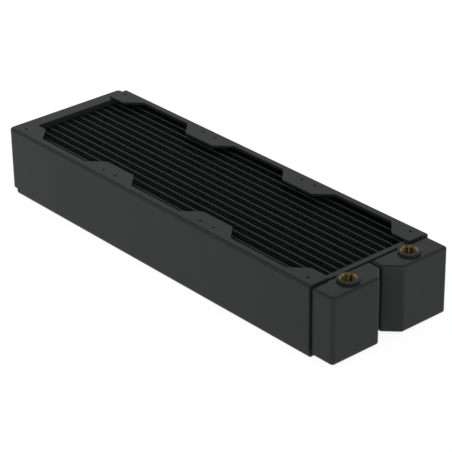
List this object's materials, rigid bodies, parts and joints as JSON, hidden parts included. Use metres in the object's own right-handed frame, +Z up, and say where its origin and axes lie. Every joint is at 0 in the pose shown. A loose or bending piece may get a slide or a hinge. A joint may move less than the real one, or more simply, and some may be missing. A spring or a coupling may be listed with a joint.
{
  "type": "liquid cooling radiator",
  "caption": "Long thick liquid cooling radiator with finned flat-tube core, fan flanges on both faces and two threaded ports in twin end tanks.",
  "frame": {"origin": "centre of the bounding box, at its underside", "axes": "+Z up, out of the face that the ports open in; +X along the length, towards the two port tanks; +Y across the width, from the inlet tank to the outlet tank"},
  "size_m": [0.3944, 0.122, 0.06],
  "materials": {
    "black_paint": "satin",
    "core_paint": "satin",
    "fin_paint": "matte",
    "port_brass": "satin"
  },
  "bodies": {
    "root": {"side_panel_near": "black_paint", "side_panel_far": "black_paint", "port_header": "black_paint", "return_header": "black_paint", "return_tank": "black_paint", "inlet_tank": "black_paint", "outlet_tank": "black_paint", "inlet_port_collar": "port_brass", "outlet_port_collar": "port_brass", "tube_upper_01": "core_paint", "tube_upper_02": "core_paint", "tube_upper_03": "core_paint", "tube_upper_04": "core_paint", "tube_upper_05": "core_paint", "tube_upper_06": "core_paint", "tube_upper_07": "core_paint", "tube_upper_08": "core_paint", "tube_upper_09": "core_paint", "tube_upper_10": "core_paint", "tube_upper_11": "core_paint", "tube_upper_12": "core_paint", "tube_upper_13": "core_paint", "tube_upper_14": "core_paint", "tube_lower_01": "core_paint", "tube_lower_02": "core_paint", "tube_lower_03": "core_paint", "tube_lower_04": "core_paint", "tube_lower_05": "core_paint", "tube_lower_06": "core_paint", "tube_lower_07": "core_paint", "tube_lower_08": "core_paint", "tube_lower_09": "core_paint", "tube_lower_10": "core_paint", "tube_lower_11": "core_paint", "tube_lower_12": "core_paint", "tube_lower_13": "core_paint", "tube_lower_14": "core_paint", "fin_strip_01": "fin_paint", "fin_strip_02": "fin_paint", "fin_strip_03": "fin_paint", "fin_strip_04": "fin_paint", "fin_strip_05": "fin_paint", "fin_strip_06": "fin_paint", "fin_strip_07": "fin_paint", "fin_strip_08": "fin_paint", "fin_strip_09": "fin_paint", "fin_strip_10": "fin_paint", "fin_strip_11": "fin_paint", "fin_strip_12": "fin_paint", "fin_strip_13": "fin_paint", "fin_strip_14": "fin_paint", "fin_strip_15": "fin_paint"}
  },
  "joints": []
}
